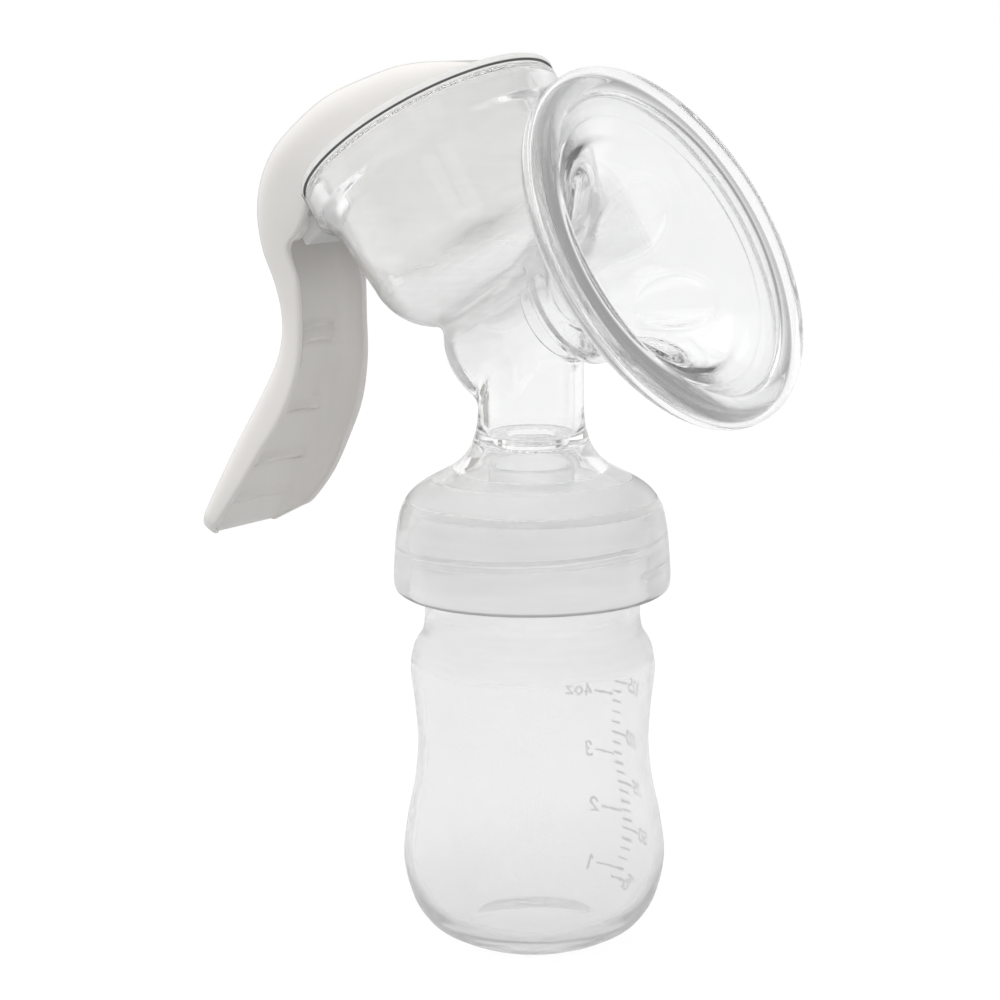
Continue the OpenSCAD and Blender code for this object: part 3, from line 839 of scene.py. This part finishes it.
def pump_body_field():
    collar = Turned(joined([[0, COLLAR_Z]], COLLAR_LINE, [[TUBE_R, HEAD_Z], [0, HEAD_Z]]),
                    BASE, UPRIGHT)
    collar_bore = cylinder(COLLAR_BORE_R, COLLAR_Z - 5, LEDGE_Z)
    dome = Turned(joined([[SPOUT_R, LEDGE_Z - 3], [23.4, LEDGE_Z - 3]], DOME_LINE, [[SPOUT_R, 118]]),
                  BASE, UPRIGHT)
    below_spout = cylinder(SPOUT_R + 1, LEDGE_Z - 3, SPOUT_Z)
    bore = cylinder(BORE_R, TUBE_FLOOR_Z, HEAD_Z)
    spout = cylinder(SPOUT_R - WALL, SPOUT_Z - 4, TUBE_FLOOR_Z + 1)
    tunnel = Turned(joined([[0, -TUNNEL_BACK]],
                           arc(TUBE_R - 2.2, -TUNNEL_BACK + 2.2, 2.2, -90, 0, 8),
                           [[TUBE_R, THROAT_S + 2], [0, THROAT_S + 2]]), ORIGIN, FUNNEL_AXES)
    tunnel_bore = Turned(joined([[0, WALL - TUNNEL_BACK]],
                                arc(BORE_R - 1.6, WALL - TUNNEL_BACK + 1.6, 1.6, -90, 0, 6),
                                [[BORE_R, THROAT_S + 3], [0, THROAT_S + 3]]), ORIGIN, FUNNEL_AXES)
    horn = Turned(joined([[0, THROAT_S], [14.4, THROAT_S], [15, THROAT_S + 0.5]], HORN_LINE[1:-1],
                         arc(MOUTH_R - 1, MOUTH_S - 1, 1, -60, 90, 9), [[0, MOUTH_S]]),
                  ORIGIN, FUNNEL_AXES)
    horn_bore = Turned(joined([[0, THROAT_S + 1.2]], HORN_BORE,
                              [[MOUTH_R - 3, MOUTH_S + 3], [0, MOUTH_S + 3]]), ORIGIN, FUNNEL_AXES)
    band = [[0, 0], [RIM_R - 0.7, 0], [RIM_R, -0.7], [RIM_R, -7.4], [30.9, -8.6], [BOWL_R, BAND_FOOT]]
    bowl = Turned(joined(band, bowl_outline(0)[1:]), RIM_ORIGIN, BOWL_AXES)
    bowl_bore = Turned(joined([[0, 4], [27.5, 4]], bowl_outline(-WALL)[1:]), RIM_ORIGIN, BOWL_AXES)

    hollow_out, hollow_z, hollow_r = 90.9, 91.0, 60

    def field(p):
        x, y, z = p[..., 0], p[..., 1], p[..., 2]
        r = np.hypot(x, y)
        q = (p - RIM_ORIGIN) @ BOWL_AXES.T
        body = collar(p)
        # three shallow finger hollows
        for a in (0, 2 * math.pi / 3, -2 * math.pi / 3):
            centre = np.array([hollow_out * math.cos(a), hollow_out * math.sin(a), hollow_z])
            body = cut(body, np.linalg.norm(p - centre, axis=-1) - hollow_r, 1.0)
        body = union(body, tunnel(p), 2.0)
        body = union(body, horn(p), 2.0)
        body = union(body, bowl(p), 3.5)
        lug = rounded_box(q, (-34.8, 0, -3.3), (3.4, LUG_Y, 2.7), 0.6)
        across = np.abs(q[..., 1])
        spoke = np.hypot(q[..., 0] - PIVOT[0], q[..., 2] - PIVOT[2])
        lug = union(lug, np.maximum(spoke - LUG_R, across - LUG_Y), 1.0)
        lug = np.minimum(lug, np.maximum(spoke - PIVOT_R, across - STUB_Y))
        body = union(body, lug, 0.6)
        # the hole that joins the bowl to the tunnel
        air = np.maximum(np.hypot(q[..., 0], q[..., 1]) - AIR_HOLE_R,
                         np.maximum(-RIM_H - q[..., 2], q[..., 2] + 30))
        hollow = np.minimum(collar_bore(p), dome(p))
        hollow = np.minimum(hollow, below_spout(p))
        hollow = np.minimum(hollow, spout(p))
        hollow = union(hollow, union(bore(p), tunnel_bore(p), 1.5), 0.3)
        hollow = np.minimum(hollow, np.minimum(horn_bore(p), air))
        hollow = np.minimum(hollow, bowl_bore(p))
        body = cut(body, hollow, 2.0)
        # collar thread
        low_part = (z < LEDGE_Z) & (r > 20)
        angle = np.arctan2(y, x) % (2 * math.pi)
        height = thread_height(z, angle, THREAD_Z + THREAD_PITCH / 2, THREAD_TURNS, 2.0)
        thread = np.maximum(COLLAR_BORE_R - height - r, r - COLLAR_BORE_R - 0.6)
        thread = np.where(low_part & (height > 0.02), thread, 9.0)
        return np.minimum(body, thread * 0.8)

    return field


def build_pump_body():
    step = 0.7
    points, faces, normals = skin_of(pump_body_field(), (-67, -44, 81), (61, 44, 210), step)
    piece = new_piece("pump_body_clear", points, faces, "upper_body", CLEAR)
    mesh = piece.data
    mesh.materials.append(LUG)
    centres = np.array([p.center for p in mesh.polygons]) / MM
    q = (centres - RIM_ORIGIN) @ BOWL_AXES.T
    on_lug = (q[:, 0] < -31) & (np.abs(q[:, 1]) < 15) & (np.hypot(q[:, 0], q[:, 1]) > RIM_R + 0.25)
    mesh.polygons.foreach_set("material_index", on_lug.astype(np.int32))
    mesh.normals_split_custom_set_from_vertices(normals.tolist())
    stands_for("pump_body")


# ---- massage cushion ----

def build_cushion():
    inset, gap = 1.7, 0.15
    liner = smooth([
        [12.4 - inset, THROAT_S + 1.8], [14.6 - inset, 21.1], [19.6 - inset, 28.5],
        [26.6 - inset, 35.7], [31.6, 40.4], [36.3, 42.7]], 8)
    roll = joined(arc(40.4, MOUTH_S - 0.2, 3.6, 178, 0, 26), arc(40.4, MOUTH_S - 1.4, 3.6, -4, -100, 14))
    pocket = joined([[39.6, MOUTH_S - 3.5], [39.6, MOUTH_S - 2.65], [40.6, MOUTH_S - 2.2]],
                    arc(MOUTH_R - 1, MOUTH_S - 1, 1 + gap, -55, 90, 12),
                    [[MOUTH_R - 3.1, MOUTH_S + gap]])
    back = HORN_BORE[::-1][1:] - [gap + 0.05, 0]
    tail = [[12.2, THROAT_S + 1.3], [BORE_R - gap, THROAT_S + 1.3], [BORE_R - gap, 7.3],
            [BORE_R - 0.4, 7], [BORE_R - 1.3, 7], [BORE_R - 1.6, 7.3]]
    tail_in = [[BORE_R - 1.6, 12.5]]
    front = joined(tail_in, liner, roll)
    line = joined(resample(front, 0.5), resample(pocket, 0.4), resample(joined(back, tail), 0.8))
    front_len = len(resample(front, 0.5))

    def shift(r, s, a, k):
        on_front = (k < front_len) & (s > 16) & (r < 33)
        # five oval pads
        psi = (a - math.radians(60) + math.pi / 5) % (2 * math.pi / 5) - math.pi / 5
        slant = (r - 18.6) / 0.62
        across = psi * np.maximum(r, 12)
        oval = (slant / 9.5) ** 2 + (across / 7.2) ** 2
        pad = np.clip(1 - oval, 0, 1) ** 0.5 * 1.5
        groove = -0.35 * np.exp(-((np.sqrt(oval) - 1.12) / 0.1) ** 2)
        # step ring near the mouth
        step = 0.45 / (1 + np.exp(-(r - 28.4) / 0.25))
        lift = np.where(on_front, pad + groove - step, 0)
        return r - lift * 0.8, s + lift * 0.6

    piece = lathe("massage_cushion_soft", line, "upper_body", CUSHION, ORIGIN, FUNNEL_AXES,
                  evenly(320), shift)
    stands_for("massage_cushion")


# ---- diaphragm, rod, valve and seal ----

def build_diaphragm():
    lip_t, skin, cup_r, floor_h, corner = 2.2, 1.2, 26.1, CUP_FLOOR, 7.0
    outside = joined(
        arc(RIM_R - 1, 0.1 + lip_t / 2, lip_t / 2, 90, -90, 9), [[cup_r, 0.1]],
        arc(cup_r - corner, floor_h + corner, corner, 0, -90, 10), [[3.1, floor_h]])
    inside = joined(
        [[3.1, floor_h + 1.6], [11, floor_h + 1.6], [11.4, floor_h + skin]],
        arc(cup_r - corner, floor_h + corner, corner - skin, -90, 0, 10),
        [[cup_r - skin, 1.2], [cup_r - skin - 0.2, 2.2]])
    line = resample(joined(outside, inside), 1.0)
    piece = lathe("diaphragm_soft", line, None, MILKY, RIM_ORIGIN, BOWL_AXES, evenly(160))
    stands_for("diaphragm")
    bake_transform(piece)


def build_rod():
    floor_h, floor_t = CUP_FLOOR, 1.6
    foot = floor_h + floor_t + 0.1
    waist = 8.9
    line = [[0, floor_h - 1.7], [3.2, floor_h - 1.7], [4.4, floor_h - 0.3], [4.4, floor_h - 0.1],
            [3, floor_h - 0.1], [3, foot], [8.7, foot], [9, foot + 0.3], [9, foot + 1.7],
            [8.6, foot + 2], [5, foot + 2.2], [3.4, foot + 14], [2.4, foot + 14.6],
            [2.4, waist], [4, waist + 1], [4, waist + 1.9], [3.6, waist + 2.3], [0, waist + 2.3]]
    line = resample(round_corners(line, 0.35), 1.2)
    piece = lathe("pull_rod_turned", line, "rod", ROD, RIM_ORIGIN, BOWL_AXES, evenly(64))
    stands_for("pull_rod")


# ---- valve and seal ----

def build_seal():
    low, high = LIP_Z + 0.1, LIP_Z + 2.1
    inner, outer = NECK_R - BOTTLE_WALL, COLLAR_BORE_R - 0.3
    line = round_corners([[inner, low], [outer, low], [outer, high], [inner, high]], 0.4, 4, True)
    piece = lathe("neck_seal_ring", line, "seal_body", VALVE, around=evenly(128))
    stands_for("neck_seal")


def build_valve():
    socket_top, bill_h, slit = 112.0, 13.0, 2.4
    top = SPOUT_Z - 1.6
    r_out, r_socket = SPOUT_R + 1.8, SPOUT_R + 0.15
    a = evenly(96)

    def ring(r, z, flat=0.0, thick=slit):
        half = r + (thick / 2 - r) * flat
        return np.stack([np.clip(r * np.cos(a), -half, half), r * np.sin(a), np.full(len(a), z)], 1)

    rings = [ring(r_socket + 0.4, socket_top), ring(r_out - 0.4, socket_top), ring(r_out, socket_top - 0.4)]
    rings += [ring(r_out, z) for z in np.linspace(socket_top - 1, top + 0.4, 6)]
    rings += [ring(r_out - 0.4, top), ring(SPOUT_R, top)]
    rings += [ring(SPOUT_R, top - bill_h * t, t) for t in np.linspace(0.04, 1, 14)]
    bore = SPOUT_R - 1.4
    rings += [ring(bore, SPOUT_Z - bill_h * t, t, 0.5) for t in np.linspace(1.1, 0.05, 14)]
    rings += [ring(bore, SPOUT_Z - 0.1), ring(r_socket, SPOUT_Z - 0.1), ring(r_socket, socket_top - 0.4)]
    faces = ring_faces(len(rings), len(a), closed=True)
    piece = new_piece("outlet_valve_duckbill", np.concatenate(rings), faces, "upper_body", VALVE)
    outward(piece)
    stands_for("outlet_valve")


# ---- handle ----

# Cross-sections from the finger tip up and over the bowl:
# [back x, back z, lip x, lip z, half width, corner radius].
HANDLE_LINE = [
    [-89.8, 90.4, -87.6, 89.6, 12, 1.6],
    [-88.9, 93, -85.2, 91.4, 16, 2.6],
    [-88, 94.9, -83.1, 92.7, 17.6, 3.7],
    [-86.6, 97.4, -80.4, 94.6, 18.9, 5],
    [-81.4, 106.3, -74, 102.4, 19.4, 6],
    [-76, 116.3, -67.8, 112, 18.2, 6],
    [-71, 126, -62, 121.8, 16.2, 6],
    [-67.2, 135, -58.6, 132.8, 14.3, 6],
    [-66.2, 143.5, -58, 144, 13.5, 6],
    [-68, 152, -58.4, 153.5, 13.8, 6.5],
    [-71.7, 161, -60.2, 161.5, 14.6, 7.5],
    [-73, 169.9, -56, 166.5, 15.3, 8.5],
    [-71.6, 177.8, -53.2, 171.8, 15.8, 9],
    [-66.8, 185.6, -51.5, 177, 16.4, 9],
    [-59.2, 192.1, -47, 180.8, 17, 9],
    [-50, 198, -39.5, 185.6, 17.2, 9],
    [-39.4, 202, -31.5, 190.8, 16.6, 8.5],
    [-29.2, 204.8, -23.8, 195.8, 15.2, 7],
    [-19, 205.6, -16.4, 200.4, 12.4, 4.5],
    [-11, 205.2, -10.4, 203.3, 7, 1.6]]

# Low soft ribs across the bottom of the channel: [height, half width, how far they stand up].
HANDLE_RIBS = [[142, 9, 1.3], [138.8, 9, 1.3], [121.5, 11, 1.6], [108.5, 13.5, 1.6], [98.5, 12, 1.0]]


def rib_height(y, z, half_width):
    """How far the ribs lift the bottom of the channel at a place across and up the handle."""
    lift = 0
    for at, reach, stand in HANDLE_RIBS:
        bow = 3.0 * (y / half_width) ** 2
        across = np.clip((reach - np.abs(y)) / 4, 0, 1)
        lift = lift + stand * np.exp(-((z - at + bow) / 0.9) ** 2) * across * across * (3 - 2 * across)
    return lift


def channel(station):
    """One U-shaped cross-section with rounded lips, as points in space."""
    back = np.array([station[0], 0, station[1]])
    inward = np.array([station[2] - station[0], 0, station[3] - station[1]])
    deep = np.linalg.norm(inward)
    inward /= deep
    w = station[4]
    t = min(HANDLE_WALL, deep * 0.7)
    c = min(station[5], deep - 0.3)
    ci = max(min(c - t + 2.5, deep - t - 0.3), 0.2)
    edge = min(0.8, (deep - c) * 0.5)
    rim = deep - edge
    out = joined([[w, rim]], [[w, c + (rim - c) * k] for k in (0.66, 0.33)],
                 arc(w - c, c, c, 0, -90, 9), [[(w - c) * k, 0] for k in np.arange(5, 0, -1) / 6])
    floor = t + ci
    inn = joined([[w - t, rim]], [[w - t, floor + (rim - floor) * k] for k in (0.66, 0.33)],
                 arc(w - t - ci, floor, ci, 0, -90, 9),
                 [[(w - t - ci) * k, t] for k in np.arange(5, 0, -1) / 6])
    inn[:, 1] += rib_height(inn[:, 0], back[2] + inn[:, 1] * inward[2], w)
    middle = [[0, t + rib_height(0, back[2] + t * inward[2], w)]]
    tip = arc(w - edge, rim, edge, 25, 90, 4)
    tip = joined(tip, (tip * [-1, 1] + [2 * w - t, 0])[::-1])
    flip = [-1, 1]
    loop = joined(out, [[0, 0]], (out * flip)[::-1], tip * flip, inn * flip, middle, inn[::-1], tip[::-1])
    return back + loop[:, 1:] * inward + loop[:, :1] * np.array([0, 1, 0])


def raw_solid(points, faces):
    """A closed mesh object in millimetres, not yet part of the model."""
    mesh = bpy.data.meshes.new("solid")
    mesh.from_pydata([tuple(map(float, p)) for p in points], [], faces)
    bm = bmesh.new()
    bm.from_mesh(mesh)
    bmesh.ops.triangulate(bm, faces=[f for f in bm.faces if len(f.verts) > 4])
    bmesh.ops.recalc_face_normals(bm, faces=bm.faces)
    if bm.calc_volume(signed=True) < 0:
        bmesh.ops.reverse_faces(bm, faces=bm.faces)
    bm.to_mesh(mesh)
    bm.free()
    obj = bpy.data.objects.new("solid", mesh)
    bpy.context.scene.collection.objects.link(obj)
    return obj


def tube_rings(rings):
    """Closed solid through a row of equal rings of points."""
    m, last = len(rings[0]), len(rings) - 1
    faces = ring_faces(len(rings), m)
    faces.append(tuple(range(m - 1, -1, -1)))
    faces.append(tuple(range(last * m, last * m + m)))
    return raw_solid(np.concatenate(rings), faces)


def at_rim(local):
    """Points given in the bowl's frame, in the row frame."""
    return RIM_ORIGIN + np.asarray(local) @ BOWL_AXES


def prism(outline, low, high):
    """Prism over an outline, along the bowl's axis."""
    outline = np.asarray(outline, float)
    rings = [at_rim(np.column_stack([outline, np.full(len(outline), h)])) for h in (low, high)]
    return tube_rings(rings)


def bar(r, y0, y1, count=48):
    """Round bar across the handle, centred on the pivot."""
    a = evenly(count)
    rings = []
    for y in (y0, y1):
        local = np.column_stack([PIVOT[0] + r * np.cos(a), np.full(count, y), PIVOT[2] + r * np.sin(a)])
        rings.append(at_rim(local))
    return tube_rings(rings)


def combine(base, tool, operation):
    """Adds the tool to the base or cuts it away, and removes the tool."""
    mod = base.modifiers.new("cut", "BOOLEAN")
    mod.object = tool
    mod.operation = operation
    mod.solver = "EXACT"
    done = bpy.data.meshes.new_from_object(base.evaluated_get(bpy.context.evaluated_depsgraph_get()))
    base.modifiers.clear()
    old = base.data
    base.data = done
    bpy.data.meshes.remove(old)
    tool_mesh = tool.data
    bpy.data.objects.remove(tool)
    bpy.data.meshes.remove(tool_mesh)


def build_handle():
    shell = tube_rings([channel(s) for s in smooth(HANDLE_LINE, 14)])
    slot = ROD_R + 0.3
    notch = joined([[12, -slot]], arc(-1, 0, slot, -90, -270, 17), [[12, slot]])
    plate = joined([[10.5, -12.6], [10.5, -slot]], notch[1:-1], [[10.5, slot], [10.5, 12.6]],
                   [[0, 14.4], [-22, 15.8], [-22, -15.8], [0, -14.4]])
    combine(shell, prism(plate, FORK_BOTTOM, FORK_BOTTOM + FORK_T), "UNION")
    for side in (-1, 1):
        ends = sorted((side * (LUG_Y + 0.2), side * (LUG_Y + 2.6)))
        combine(shell, bar(PIVOT_R + 2.4, *ends), "UNION")
    combine(shell, bar(PIVOT_R + 0.05, -STUB_Y - 0.2, STUB_Y + 0.2), "DIFFERENCE")
    disc = arc(0, 0, RIM_R + 0.6, 0, 360, 97)[:-1]
    combine(shell, prism(disc, -1, 3), "DIFFERENCE")
    points = [v.co[:] for v in shell.data.vertices]
    faces = [p.vertices[:] for p in shell.data.polygons]
    piece = new_piece("handle_shell", points, faces, "lever", WHITE)
    piece.data.set_sharp_from_angle(angle=math.radians(35))
    mesh = shell.data
    bpy.data.objects.remove(shell)
    bpy.data.meshes.remove(mesh)
    stands_for("handle")


# ---- studio ----

def build_camera():
    """Camera at the photographed angle: slightly above, from the funnel's right."""
    azimuth, height, roll = math.radians(35.48), math.radians(10.26), math.radians(-0.52)
    distance, focal, aim_height, aim_left = 0.62088, 2.6698, 0.10483, 0.00736
    right = Vector((math.cos(azimuth), math.sin(azimuth), 0))
    back = Vector((math.sin(azimuth) * math.cos(height), -math.cos(azimuth) * math.cos(height),
                   math.sin(height)))
    up = back.cross(right)
    side = right * math.cos(roll) + up * math.sin(roll)
    top = up * math.cos(roll) - right * math.sin(roll)
    place = Matrix((side, top, back)).transposed().to_4x4()
    place.translation = Vector((0, 0, aim_height)) - right * aim_left + back * distance
    lens = bpy.data.cameras.new("camera")
    lens.sensor_width = 36
    lens.lens = lens.sensor_width * focal
    camera = bpy.data.objects.new("camera", lens)
    bpy.context.scene.collection.objects.link(camera)
    camera.matrix_world = place
    bpy.context.scene.camera = camera
    return right, up, back


def card(name, centre, facing, width, height, power):
    """Soft rectangular lamp at a place in the row frame, looking towards a point."""
    lamp = bpy.data.lights.new(name, "AREA")
    lamp.shape = "RECTANGLE"
    lamp.size = width
    lamp.size_y = height
    lamp.energy = power
    obj = bpy.data.objects.new(name, lamp)
    bpy.context.scene.collection.objects.link(obj)
    obj.location = centre
    obj.rotation_euler = (Vector(facing) - Vector(centre)).to_track_quat("-Z", "Y").to_euler()
    return obj


def build_floor():
    """Large pale sheet the pump stands on."""
    size = 3.0
    mesh = bpy.data.meshes.new("floor")
    corners = [(-size, -size), (size, -size), (size, size), (-size, size)]
    mesh.from_pydata([(x, y, -0.0002) for x, y in corners], [], [(0, 1, 2, 3)])
    floor = bpy.data.objects.new("floor", mesh)
    bpy.context.scene.collection.objects.link(floor)
    mat, tree = node_tree("floor_paper")
    grain = noise(tree, 30, 2)
    paper = add(tree, "ShaderNodeBsdfDiffuse")
    tone = tones(tree, grain.outputs["Fac"], (0.9, 0.9, 0.9), (0.93, 0.93, 0.93))
    tree.links.new(tone, paper.inputs["Color"])
    lift = add(tree, "ShaderNodeEmission", Color=(1, 1, 1, 1))
    ray = add(tree, "ShaderNodeLightPath")
    amount = eased(tree, ray.outputs["Is Diffuse Ray"], 0, 1, 0.88, 0.75)
    mixed = blend_shaders(tree, amount, paper, lift)
    # clear parts see a floor that is bright only behind the pump
    fade = eased(tree, toward(tree, "Object", BRIGHT_WAY), -0.1, 0.12, 0.5, 1.0)
    glow = add(tree, "ShaderNodeMath", operation="MAXIMUM")
    bounced = eased(tree, ray.outputs["Is Diffuse Ray"], 0, 1, 1.0, 0.25)
    tree.links.new(times(tree, fade, bounced), glow.inputs[0])
    tree.links.new(times(tree, ray.outputs["Is Camera Ray"], 1.04), glow.inputs[1])
    tree.links.new(glow.outputs[0], lift.inputs["Strength"])
    shown(tree, mixed)
    mesh.materials.append(mat)


def build_world():
    """White behind the pump, dark beside it, so that clear edges draw grey lines.
    Matt surfaces are lit by a softer sky that is bright above and dim below."""
    world = bpy.data.worlds.new("studio")
    world.use_nodes = True
    tree = world.node_tree
    tree.nodes.clear()
    forward = toward(tree, "Generated", BRIGHT_WAY)
    behind = eased(tree, forward, 0.08, 0.62, 0.32, 1.0)
    above = eased(tree, toward(tree, "Generated", UP_AXIS), 0.55, 0.9, 0.0, 0.2)
    left_front = eased(tree, toward(tree, "Generated", RIGHT), -0.8, -0.1, 0.3, 0.0)
    glow = plus(tree, plus(tree, behind, above), left_front)
    clear_light = add(tree, "ShaderNodeBackground", Color=(1, 1, 1, 1))
    tree.links.new(glow, clear_light.inputs["Strength"])
    key = (0.5 * BACK - 0.55 * RIGHT + 0.65 * UP).normalized()
    sky = eased(tree, toward(tree, "Generated", key), -0.6, 0.95, 0.36, 1.12)
    back_light = eased(tree, forward, 0.2, 0.9, 0.0, 0.25)
    matt_light = add(tree, "ShaderNodeBackground", Color=(1, 0.995, 0.985, 1))
    tree.links.new(plus(tree, sky, back_light), matt_light.inputs["Strength"])
    seen = add(tree, "ShaderNodeBackground", Color=(1, 1, 1, 1), Strength=1.0)
    ray = add(tree, "ShaderNodeLightPath")
    light = blend_shaders(tree, ray.outputs["Is Diffuse Ray"], clear_light, matt_light)
    both = blend_shaders(tree, ray.outputs["Is Camera Ray"], light, seen)
    shown(tree, both, "World")
    bpy.context.scene.world = world


def build_lamps():
    """Two tall soft boxes beside the camera, a window of two panes and a wide box overhead."""
    aim = Vector((0, 0, 0.12))
    card("left_box", aim - RIGHT * 0.75 + BACK * 0.65 + Vector((0, 0, 0.35)), aim, 0.3, 0.6, 0.3)
    card("right_box", aim + RIGHT * 0.8 + BACK * 0.5 + Vector((0, 0, 0.3)), aim, 0.2, 0.6, 0.12)
    bowl = Vector((-0.014, 0, 0.167))
    for n, shift in enumerate((-0.11, 0.11)):
        pane = card(f"window_{n}", bowl + Vector((0.354, -0.72, 0.405)) + shift * RIGHT, bowl, 0.19, 0.5, 0.2)
        pane.visible_diffuse = False
    card("top_box", aim - BACK * 0.2 + Vector((0, 0, 0.9)), aim, 0.9, 0.6, 1.2)


def render_settings():
    scene = bpy.context.scene
    scene.view_settings.view_transform = "Standard"
    scene.view_settings.look = "None"
    scene.cycles.max_bounces = 24
    scene.cycles.transmission_bounces = 24
    scene.cycles.transparent_max_bounces = 24
    scene.cycles.glossy_bounces = 8
    scene.cycles.diffuse_bounces = 4


build_bottle()
build_pump_body()
build_cushion()
build_diaphragm()
build_rod()
build_seal()
build_valve()
build_handle()
RIGHT, UP, BACK = build_camera()
BRIGHT_WAY = (-BACK - 0.2 * RIGHT - 0.06 * UP).normalized()
build_floor()
build_world()
build_lamps()
render_settings()
